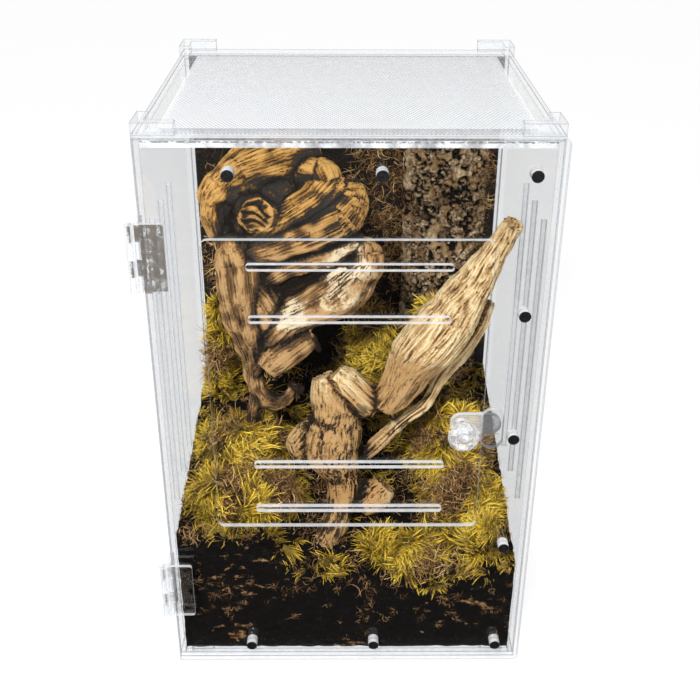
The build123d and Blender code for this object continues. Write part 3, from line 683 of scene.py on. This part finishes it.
def read(mesh):
    """A mesh's points, normals and edges as arrays."""
    places, normals = np.empty((2, len(mesh.vertices) * 3))
    pairs = np.empty(len(mesh.edges) * 2, dtype=np.int32)
    mesh.vertices.foreach_get("co", places)
    mesh.vertex_normals.foreach_get("vector", normals)
    mesh.edges.foreach_get("vertices", pairs)
    return places.reshape(-1, 3), normals.reshape(-1, 3), pairs.reshape(-1, 2)


def write(mesh, places):
    """Moves a mesh's points to these places."""
    mesh.vertices.foreach_set("co", np.ascontiguousarray(places, dtype=np.float32).ravel())
    mesh.update()


def ranked(values):
    """Each value's place in their order, from 0 to 1."""
    return values.argsort().argsort() / len(values)


def even_mesh(bm, name, voxel):
    """The closed solid in a bmesh, divided evenly."""
    rough = build(bm, name, coir)
    even = rough.modifiers.new("even", "REMESH")
    even.mode = "VOXEL"
    even.voxel_size = voxel
    mesh = applied(rough)
    bpy.data.objects.remove(rough)
    return mesh


def weathered(name, limbs, material, fuse, soften, ridge, swell, knots=()):
    """Limbs swollen by fuse mm until they join, softened and shrunk, then carved along the grain.

    Each point keeps its grain, and how much it lies in a hollow and in a pore, for the finish,
    which paints shade into the hollows and highlights onto the ridges from them."""
    bm = bmesh.new()
    for stations in limbs:
        limb(bm, [(x, y, z, radius + fuse) for x, y, z, radius in stations])
    bmesh.ops.recalc_face_normals(bm, faces=bm.faces[:])
    mesh = even_mesh(bm, "rough_wood", WOOD_VOXEL)
    places, normals, pairs = read(mesh)
    write(mesh, averaged(places, pairs, soften))
    places, normals, pairs = read(mesh)
    write(mesh, averaged(places - normals * fuse * 0.8 / 1000, pairs, 2))
    bm = bmesh.new()
    bm.from_mesh(mesh)
    bm.normal_update()
    grain, crease = grain_of(bm, limbs)
    grain_layer = bm.verts.layers.float_vector.new("grain")
    eyes = np.zeros(len(bm.verts))
    for vert, lie, deep in zip(bm.verts, grain, crease):
        vert[grain_layer] = lie
        fine = Vector((lie[0] * 520, lie[1] * 520, lie[2] * 14))
        wide = Vector((lie[0] * 110, lie[1] * 110, lie[2] * 20))
        ridges = 0.5 - abs(noise.noise(fine)) - 0.6 * abs(noise.noise(fine * 2.3))
        lumps = noise.noise(vert.co * 42) + 0.6 * noise.noise(vert.co * 120) + 0.8 * noise.noise(wide)
        pits = min(0.0, noise.noise(vert.co * 480) + 0.5)
        step = ridge * (ridges - 0.25) + swell * (lumps - 0.2) + 0.003 * pits - 0.001 * deep
        for x, y, z, reach in knots:
            offset = (vert.co - corner) * 1000 - Vector((x, y, z))
            away = math.hypot(offset.x, offset.z) / reach
            if away < 1.25 and vert.normal.y < 0.1 and abs(offset.y) < 14:
                slant = offset.x * 0.5 + offset.z * 0.86 + 7.0 * noise.noise(vert.co * 90)
                inside = min(1.0, max(0.0, (0.95 - away) * 3))
                eyes[vert.index] = inside
                step -= inside * (0.0018 * max(0.0, math.sin(slant * 1.3)) + 0.0018)
                step -= 0.0012 * math.exp(-((away - 1.05) / 0.12) ** 2)
        vert.co += vert.normal * step
        vert.co.z = min(vert.co.z, lid_low.z - 0.0004)
    bm.to_mesh(mesh)
    places, normals, pairs = read(mesh)
    for layer_name, rounds in (("hollow", 45), ("pore", 4)):
        sunk = ((averaged(places, pairs, rounds) - places) * normals).sum(axis=1)
        layer = bm.verts.layers.float.new(layer_name)
        for vert, depth in zip(bm.verts, ranked(sunk) + 0.15 * eyes):
            vert[layer] = depth
    return build(bm, name, material)


def spot_share(place, spot, wander, inner):
    """1 near a spot given in mm from the corner, fading to 0 at its reach in metres."""
    x, y, z, reach = spot
    middle = tuple(corner + Vector((x, y, z)) / 1000)
    away = place.add("ShaderNodeVectorMath", {0: place, 1: middle}, out=1, operation="DISTANCE")
    return 1.0 - (away + wander).band(reach * inner, reach)


def wood_finish(name, split, high, high_mid, streak, low, deep, shade, patch, stain_and_shade_from, high_stain_and_shade_from,
                blotch, sink, stripes, patch_places, painted_shade_places):
    """Weathered wood: bare ridges, dark hollows, long grain, dark checks and pores. The ridges carry
    painted highlights, and the hollows are dark partly from stain and partly from painted shade.

    Its colours run from streak to low below the split height and from high to high_mid above it.
    Where the tone passes the stain-and-shade threshold they turn deep, then shade. Patches are bare
    wood. The shaded places add painted shade, and near-black blotches darken the wood low down."""
    material, place = new_finish(name)
    log = place.kept("grain", out=1)
    hollow = place.kept("hollow")
    pore = place.kept("pore")
    height = place.axis(2)
    fibres = log.stretched(1.0, 1.0, 0.05).speckle(620.0, 7.0, 0.75)
    bands = log.stretched(1.0, 1.0, 0.12).speckle(150.0, 5.0, 0.7, 1.0)
    checks = log.stretched(1.0, 1.0, 0.06).speckle(330.0, 5.0, 0.65)
    mottle = place.speckle(55.0, 8.0, 0.72)
    grit = place.speckle(900.0, 4.0, 0.7)
    # Painted shade and highlights: the hollow term darkens hollows and lightens ridges, over stain,
    # grain and grit.
    tone = hollow * sink + (mottle - 0.5) * blotch + (bands - 0.5) * stripes + (fibres - 0.5) * 0.7
    tone = tone + (pore - 0.5) * 0.3 + (grit - 0.5) * 0.6 + (1.0 - height.band(0.12, 0.16)) * 0.16
    # Painted shade: the tone darkens around these given spots.
    for spot in painted_shade_places:
        tone = tone + spot_share(place, spot, (mottle - 0.5) * 0.03, 0.3) * 0.22
    body = tone.ramp((0.1, streak), (0.45, low), (stain_and_shade_from, deep), (stain_and_shade_from + 0.16, shade),
                     (1.1, (0.01, 0.008, 0.006)))
    crown = tone.ramp((0.1, high), (0.45, high_mid), (high_stain_and_shade_from, deep), (high_stain_and_shade_from + 0.16, shade))
    body = body.blend((height + mottle * 0.08).band(split, split + 0.035), crown)
    body = body.blend((1.0 - fibres.band(0.34, 0.48)) * 0.6, deep)
    for spot in patch_places:
        bare = spot_share(place, spot, (mottle - 0.5) * 0.05, 0.45)
        body = body.blend(bare * (1.0 - tone.band(0.45, 0.75)) * 0.75, patch)
    body = body.blend(pore.band(0.93, 0.99) * 0.75, (0.03, 0.018, 0.01))
    # Near-black blotches from mottle, bands and fibres, only below about 15 cm.
    low_dark_blots = (mottle + (bands - 0.5) * 0.7 + (fibres - 0.5) * 0.3).band(0.53, 0.6)
    body = body.blend(low_dark_blots * (1.0 - height.band(0.13, 0.17)) * 0.92, (0.02, 0.015, 0.012))
    cracks = 1.0 - checks.band(0.34, 0.38)
    body = body.blend(cracks * 0.85, (0.02, 0.012, 0.006))
    relief = fibres + bands * 0.4 + grit * 0.6 - cracks
    coat(body, 0.8, relief, 0.0022, 0.15)
    return material


root_wood = wood_finish(
    "root_wood", split=0.266, high=(0.88, 0.5, 0.15), high_mid=(0.5, 0.25, 0.06),
    streak=(0.56, 0.34, 0.15), low=(0.27, 0.145, 0.055), deep=(0.09, 0.05, 0.022),
    shade=(0.045, 0.042, 0.038), patch=(0.98, 0.85, 0.58),
    stain_and_shade_from=0.87, high_stain_and_shade_from=0.76, blotch=0.75, sink=1.0, stripes=0.45,
    patch_places=((0, 84, 216, 0.017), (-6, 80, 200, 0.008), (-33, 72, 192, 0.014)),
    painted_shade_places=((-10, 90, 243, 0.028), (-26, 84, 211, 0.014), (-58, 84, 172, 0.02)))
branch_wood = wood_finish(
    "branch_wood", split=0.285, high=(0.74, 0.45, 0.17), high_mid=(0.45, 0.25, 0.09),
    streak=(0.97, 0.78, 0.46), low=(0.74, 0.5, 0.23), deep=(0.26, 0.13, 0.045),
    shade=(0.05, 0.03, 0.018), patch=(0.5, 0.27, 0.09),
    stain_and_shade_from=0.82, high_stain_and_shade_from=0.76, blotch=0.7, sink=0.85, stripes=0.8,
    patch_places=((-8, 52, 115, 0.05), (-8, 42, 78, 0.045), (33, 58, 152, 0.034)),
    painted_shade_places=((2, 56, 100, 0.02), (15, 54, 82, 0.014), (88, 56, 246, 0.012), (87, 59, 234, 0.012),
                 (84, 61, 222, 0.013), (80, 63, 209, 0.013)))
root = weathered("driftwood_root_wood", ROOT_LIMBS, root_wood, fuse=3.6, soften=20, ridge=0.0008,
                 swell=0.0022, knots=((-51, 81, 248.5, 10.0),))
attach(root, "box")
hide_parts("driftwood_root")
branch = weathered("driftwood_branch_wood", BRANCH_LIMBS, branch_wood, fuse=2.0, soften=6,
                   ridge=0.0013, swell=0.0013)
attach(branch, "box")
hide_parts("driftwood_branch")

# ---- Cork bark ----
# A slab of cork oak bark stands against the board. Its outer face is broken into
# chunky tan plates with deep, nearly black cracks between them.


def remeshed(node, voxel):
    """A closed, evenly divided copy of a CAD piece."""
    bm = bmesh.new()
    bm.from_mesh(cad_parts[node].data)
    bmesh.ops.remove_doubles(bm, verts=bm.verts[:], dist=0.00001)
    mesh = even_mesh(bm, node + "_copy", voxel)
    bm = bmesh.new()
    bm.from_mesh(mesh)
    bm.normal_update()
    return bm


def shaped(bm, move):
    """Moves every point by what the function gives for it."""
    moves = [move(vert) for vert in bm.verts]
    for vert, step in zip(bm.verts, moves):
        vert.co += step
    bm.normal_update()


cork, place = new_finish("cork_bark")
crack, chunk = [place.kept(name) for name in ("crack", "chunk")]
grit = place.speckle(420.0, 8.0, 0.75)
tone = place.speckle(110.0, 4.0)
colour = (grit * 0.85 + chunk * 0.15).ramp((0.38, (0.03, 0.018, 0.01)), (0.47, (0.16, 0.1, 0.055)),
                                           (0.54, (0.42, 0.29, 0.16)), (0.62, (0.78, 0.61, 0.38)))
colour = colour.blend(tone.band(0.48, 0.6) * 0.65, (0.3, 0.16, 0.06))
colour = colour.blend(crack.band(0.25, 0.75), (0.008, 0.006, 0.004))
coat(colour, 0.92, grit - crack, 0.003, 0.12)


def bark_relief(bm):
    """Cracks between chunky plates. Each point keeps how deep in a crack it is, and its plate."""
    crack_layer = bm.verts.layers.float.new("crack")
    chunk_layer = bm.verts.layers.float.new("chunk")
    for vert in bm.verts:
        wander = noise.noise_vector(vert.co * 150) * 0.8 + noise.noise_vector(vert.co * 420) * 0.3
        spot = Vector((vert.co.x * 105, vert.co.y * 80, vert.co.z * 75)) + wander
        (near, next_near), (chunk_place, _) = [found[:2] for found in noise.voronoi(spot)]
        plate = min(1.0, (next_near - near) * 4.5)
        chunk = noise.noise(chunk_place * 5.3)
        lumps = noise.fractal(vert.co * 300, 0.7, 2.0, 4)
        vert[crack_layer] = 1.0 - plate
        vert[chunk_layer] = chunk + 0.5
        step = 0.0035 * chunk + 0.0012 * lumps - 0.0038 * (1.0 - plate) ** 1.5
        calm = 1.0 if vert.normal.y < -0.5 else 0.35
        vert.co += vert.normal * max(-0.005, min(step, 0.0022)) * calm
    bm.normal_update()


noise.seed_set(7)   # without a seed, noise_vector follows the clock and no two runs are alike
bm = remeshed("cork_bark_slab", 0.0011)
bark_relief(bm)
bark = build(bm, "cork_bark", cork)
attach(bark, "box")
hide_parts("cork_bark_slab")

# ---- Dry fibres on the board ----
# Tangles of dead moss and root fibre cling to the felt beside the wood and the bark.
# They are thin curled strands, caught in the felt by their ends.


def strand(bm, foot, way, length, width, droop, steps, tip, curl=0.0, axis=None):
    """A thin blade, extruded step by step from its foot, bending and curling as it goes."""
    side = way.cross(Vector((0.0, 0.0, 1.0)))
    side = (side if side.length > 0.01 else Vector((1.0, 0.0, 0.0))).normalized() * width / 2
    ends = [bm.verts.new(foot - side), bm.verts.new(foot + side)]
    edge = bm.edges.new(ends)
    for step in range(steps):
        grown = bmesh.ops.extrude_edge_only(bm, edges=[edge])["geom"]
        ends = [item for item in grown if isinstance(item, bmesh.types.BMVert)]
        way = (way - Vector((0.0, 0.0, droop / steps))).normalized()
        if curl:
            way.rotate(Matrix.Rotation(curl / steps, 3, axis))
        bmesh.ops.translate(bm, verts=ends, vec=way * length / steps)
        middle = (ends[0].co + ends[1].co) / 2
        slim = 0.8 if step < steps - 1 else 0.2
        bmesh.ops.scale(bm, verts=ends, vec=(slim, slim, slim), space=Matrix.Translation(-middle))
        for vert in ends:
            vert[tip] = (step + 1) / steps
        edge = next(item for item in grown if isinstance(item, bmesh.types.BMEdge))


def clump(seed, count, reach, spread, lift, droop, width, steps, comb=0.0, curl=0.0):
    """A clump of strands from about one foot, combed one way, to be set out many times."""
    pick = random.Random(seed)
    bm = bmesh.new()
    tip = bm.verts.layers.float.new("tip")
    tone = bm.verts.layers.float.new("tone")
    bm.verts.layers.float.new("shade")
    for _ in range(count):
        before = set(bm.verts)
        turn = pick.uniform(0.0, 2.0 * math.pi)
        rise = pick.uniform(*lift)
        way = Vector((math.cos(turn) + comb, math.sin(turn), rise)).normalized()
        foot = Vector((pick.gauss(0.0, spread), pick.gauss(0.0, spread), 0.0))
        bend = pick.uniform(*droop)
        axis = Vector([pick.gauss(0, 1) for _ in range(3)]).normalized()
        strand(bm, foot, way, pick.uniform(*reach), pick.uniform(*width), bend, steps, tip,
               pick.uniform(0.3, 1.0) * curl, axis)
        strand_tone = pick.random()
        for vert in set(bm.verts) - before:
            vert[tone] = strand_tone
    mesh = bpy.data.meshes.new("clump")
    bm.to_mesh(mesh)
    bm.free()
    return mesh


def nudge(pick):
    """A random step of up to 1 each way."""
    return Vector([pick.uniform(-1, 1) for _ in range(3)])


def plant(bm, templates, places, pick, size, tilt, shades):
    """Sets clumps into a bmesh, each turned, leaned, sized and shaded a little differently."""
    for place, outward in places:
        mesh = pick.choice(templates)
        shade_value = pick.uniform(*shades)
        mesh.attributes["shade"].data.foreach_set("value", [shade_value] * len(mesh.vertices))
        turn = (outward + nudge(pick) * tilt).normalized().to_track_quat("Z", "Y").to_matrix().to_4x4()
        combed = noise.noise(place * 24) * 8.0 + pick.uniform(-0.7, 0.7)
        spin = Matrix.Rotation(combed, 4, "Z")
        scale = Matrix.Scale(size * pick.uniform(0.65, 1.35), 4)
        add_moved(bm, mesh, Matrix.Translation(place) @ turn @ spin @ scale)


fibre_colour, place = new_finish("dry_fibre")
tip, shade, tone = [place.kept(name) for name in ("tip", "shade", "tone")]
colour = (shade * 0.5 + tone * 0.5).ramp((0.1, (0.035, 0.018, 0.008)), (0.4, (0.2, 0.1, 0.035)),
                                         (0.65, (0.5, 0.29, 0.11)), (0.9, (0.9, 0.66, 0.32)))
colour = colour.blend((1.0 - tip.band(0.0, 0.5)) * 0.5, (0.03, 0.016, 0.008))
coat(colour, 0.8, place.speckle(1800.0), 0.0003, 0.2)

tangles = [clump(seed, count=9, reach=(0.005, 0.015), spread=0.0025, lift=(-0.1, 0.7),
                 droop=(-1.0, 1.5), width=(0.0004, 0.0009), steps=6, curl=5.0) for seed in range(8)]
board_low, board_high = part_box("background_board")
FIBRE_FIELDS = (
    # middle x and z from the corner, half widths in x and z, all in mm, and how many
    (22, 256, 18, 34, 110), (-5, 290, 24, 12, 20), (82, 190, 12, 50, 110), (35, 200, 30, 26, 110),
    (-86, 190, 7, 55, 80), (88, 262, 6, 36, 70), (20, 165, 36, 22, 60),
)
pick = random.Random(11)
places = []
for x, z, half_x, half_z, count in FIBRE_FIELDS:
    for _ in range(count):
        spot = corner + Vector((pick.gauss(x, half_x * 0.6), 0.0, pick.gauss(z, half_z * 0.6))) / 1000
        spot.y = board_low.y - 0.0006
        if board_low.x + 0.004 < spot.x < board_high.x - 0.004 and spot.z < board_high.z - 0.01:
            places.append((spot, Vector((0.0, -1.0, 0.0))))
bm = bmesh.new()
plant(bm, tangles, places, pick, size=1.0, tilt=0.35, shades=(0.0, 1.0))
for vert in bm.verts:
    vert.co.x = min(max(vert.co.x, board_low.x), board_high.x)
    vert.co.y = min(vert.co.y, board_low.y + 0.0004)
    vert.co.z = min(vert.co.z, board_high.z - 0.001)
fibres = build(bm, "board_fibres", fibre_colour, smooth=False)
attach(fibres, "box")

# ---- Soil ----
# A deep bed of dark, moist coconut-fibre soil, pressed flat against the clear walls
# and lumpy on top, with chips of bark and loose fibres through it.

soil_colour, place = new_finish("dark_soil")
clods = place.speckle(260.0, 9.0, 0.75)
layers = place.stretched(0.45, 0.45, 1.0).speckle(95.0, 7.0, 0.7, 0.8)
patches = place.speckle(22.0, 3.0)
colour = clods.ramp((0.4, (0.0015, 0.001, 0.0006)), (0.58, (0.004, 0.0025, 0.0015)),
                    (0.7, (0.03, 0.017, 0.008)))
chips = (layers + clods * 0.45 + patches * 0.3).band(0.99, 1.06)
chip_colour = clods.ramp((0.38, (0.05, 0.02, 0.006)), (0.5, (0.2, 0.09, 0.03)),
                         (0.62, (0.5, 0.3, 0.14)))
coat(colour.blend(chips * 0.7, chip_colour), 0.85, clods, 0.002, 0.1)

soil_low, soil_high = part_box("soil_bed")


def clods_relief(vert):
    """Lumps on top, and small dents inwards on the sides, which stay inside the walls."""
    lumps = noise.fractal(vert.co * 120, 0.8, 2.0, 4)
    if vert.normal.z > 0.3:
        return Vector((0.0, 0.0, 0.0035 * lumps - 0.001))
    return vert.normal * min(0.0, 0.0006 * lumps - 0.0002)


bm = remeshed("soil_bed", 0.002)
shaped(bm, clods_relief)
soil = build(bm, "soil", soil_colour)
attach(soil, "box")
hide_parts("soil_bed")


def surface_places(mesh, count, pick, wanted):
    """Places on a surface, spread evenly over its area, with the way out of it."""
    faces = [face for face in mesh.polygons if wanted(face)]
    for face in pick.choices(faces, weights=[face.area for face in faces], k=count):
        yield face.center + nudge(pick) * 0.001, face.normal.copy()


pick = random.Random(5)
bm = bmesh.new()
on_top = list(surface_places(soil.data, 260, pick,
                             lambda face: face.normal.z > 0.6 and face.center.y < 0.0))
plant(bm, tangles, on_top, pick, size=0.9, tilt=0.5, shades=(0.0, 0.9))
front = []
for _ in range(70):
    spot = Vector((pick.uniform(soil_low.x, soil_high.x), soil_low.y + 0.0003,
                   soil_low.z + 0.05 * pick.random() ** 0.6 + 0.004))
    front.append((spot, Vector((0.0, -1.0, 0.0))))
plant(bm, tangles, front, pick, size=0.45, tilt=0.0, shades=(0.0, 0.7))
for vert in bm.verts:
    vert.co.x = min(max(vert.co.x, soil_low.x), soil_high.x)
    if vert.co.y < soil_low.y + 0.004:
        vert.co.y = soil_low.y - 0.0001
loose = build(bm, "soil_fibres", fibre_colour, smooth=False)
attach(loose, "box")

# ---- Moss ----
# Cushions of living yellow-green moss over a brown mat of old stems. Each tuft is a
# dome of fine shoots that bend over at their tips. They lie on the soil and board.

moss_green, place = new_finish("moss")
tip, shade, tone = [place.kept(name) for name in ("tip", "shade", "tone")]
# Shoots are near black at the base: brown old stem, with painted shade deep in the cushion.
living = tip.ramp((0.0, (0.008, 0.005, 0.001)), (0.35, (0.13, 0.08, 0.006)), (0.7, (0.68, 0.43, 0.02)),
                  (1.0, (1.0, 0.79, 0.11)))
living = living.blend((1.0 - tone.band(0.1, 0.5)) * 0.75, (0.16, 0.1, 0.008))
faded = (shade + place.speckle(45.0) * 0.5 - 0.25).band(0.2, 0.6)
living = living.blend(faded * 0.5, (0.26, 0.17, 0.012))
coat(living, 0.55, place.speckle(2200.0), 0.0002, 0.3)

mat_brown, place = new_finish("moss_mat")
felt = place.stretched(1.0, 1.0, 0.6).speckle(600.0, 8.0, 0.8, 1.5)
# The mat runs to near black: brown old stems, with painted shade in the gaps between the tufts.
colour = felt.ramp((0.42, (0.004, 0.003, 0.002)), (0.52, (0.05, 0.028, 0.01)),
                   (0.6, (0.22, 0.13, 0.04)))
coat(colour, 0.95, felt, 0.003, 0.1)

tufts = [clump(seed + 20, count=16, reach=(0.005, 0.0135), spread=0.0015, lift=(0.1, 1.3),
               droop=(0.5, 1.9), width=(0.0005, 0.001), steps=3, comb=1.5) for seed in range(9)]
SHEET = 0.003
CLEARANCE = 0.0002
wall_inner = (wall_low.x + SHEET + CLEARANCE, wall_high.x - SHEET - CLEARANCE)
front_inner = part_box("front_panel")[1].y + CLEARANCE


def enclosed(bm):
    """Presses strands flat where they would pass a wall or go deep into the board."""
    for vert in bm.verts:
        vert.co.x = min(max(vert.co.x, wall_inner[0]), wall_inner[1])
        vert.co.y = min(max(vert.co.y, front_inner), board_low.y + 0.002)


def moss_patch(node, tuft_count, tangle_count, seed):
    """A mat that fills the patch, old stems over it, and the tufts that stand on it."""
    pick = random.Random(seed)
    bm = remeshed(node, 0.0022)
    shaped(bm, lambda vert: vert.normal * (0.0025 * noise.fractal(vert.co * 130, 0.7, 2.0, 4) - 0.0045))
    mat = build(bm, node + "_mat", mat_brown)
    green, brown = [], []
    places = surface_places(mat.data, 4 * tuft_count, pick, lambda face: face.normal.z > -0.2)
    for place, outward in places:
        lush = noise.noise(place * 55 + Vector((seed, 0, 0))) + 0.4 * noise.noise(place * 140)
        lifted = (outward + Vector((0.0, -0.25, 0.35))).normalized()
        if lush > 0.02 and len(green) < tuft_count:
            green.append((place, lifted))
        elif lush <= 0.02 and len(brown) < tangle_count:
            brown.append((place, lifted))
    for name, templates, places, shades, finish, tilt in (
            ("_tufts", tufts, green, (0.0, 0.6), moss_green, 0.35),
            ("_stems", tangles, brown, (0.0, 0.75), fibre_colour, 0.6)):
        bm = bmesh.new()
        plant(bm, templates, places, pick, 1.0, tilt, shades)
        enclosed(bm)
        piece = build(bm, node + name, finish, smooth=False)
        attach(piece, "box")
        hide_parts(node)
    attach(mat, "box")
    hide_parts(node)


# How many tufts and how many dead stems each cushion has at most.
MOSS = {"moss_left": (720, 420), "moss_right": (800, 420), "moss_front": (220, 110),
        "moss_back_left": (180, 220), "moss_centre": (700, 300)}
for seed, (node, counts) in enumerate(MOSS.items()):
    moss_patch(node, *counts, seed)

# Loose sprigs and dead stems have spread over the soil between the cushions.

pick = random.Random(31)
sprigs, stalks = [], []
for place, outward in surface_places(soil.data, 2600, pick, lambda face: face.normal.z > 0.6):
    offset = (place - corner) * 1000
    bare_hollow = 4 < offset.x < 46 and offset.y < 72
    bare_front = -24 < offset.x < 10 and offset.y < 12
    lush = noise.noise(place * 60) + 0.5 * noise.noise(place * 150)
    if bare_hollow or bare_front:
        continue
    at_edge = offset.y < 16 or abs(offset.x) > 72
    if lush > (-0.2 if at_edge else 0.1) and len(sprigs) < 800:
        sprigs.append((place, Vector((0.0, -0.3, 1.0))))
    elif lush < -0.12 and len(stalks) < 260:
        stalks.append((place, Vector((0.0, -0.3, 1.0))))
for name, templates, places, shades, finish in (
        ("loose_sprigs", tufts, sprigs, (0.0, 0.7), moss_green),
        ("loose_stalks", tangles, stalks, (0.1, 1.0), fibre_colour)):
    bm = bmesh.new()
    plant(bm, templates, places, pick, 0.9, 0.5, shades)
    enclosed(bm)
    piece = build(bm, name, finish, smooth=False)
    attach(piece, "box")
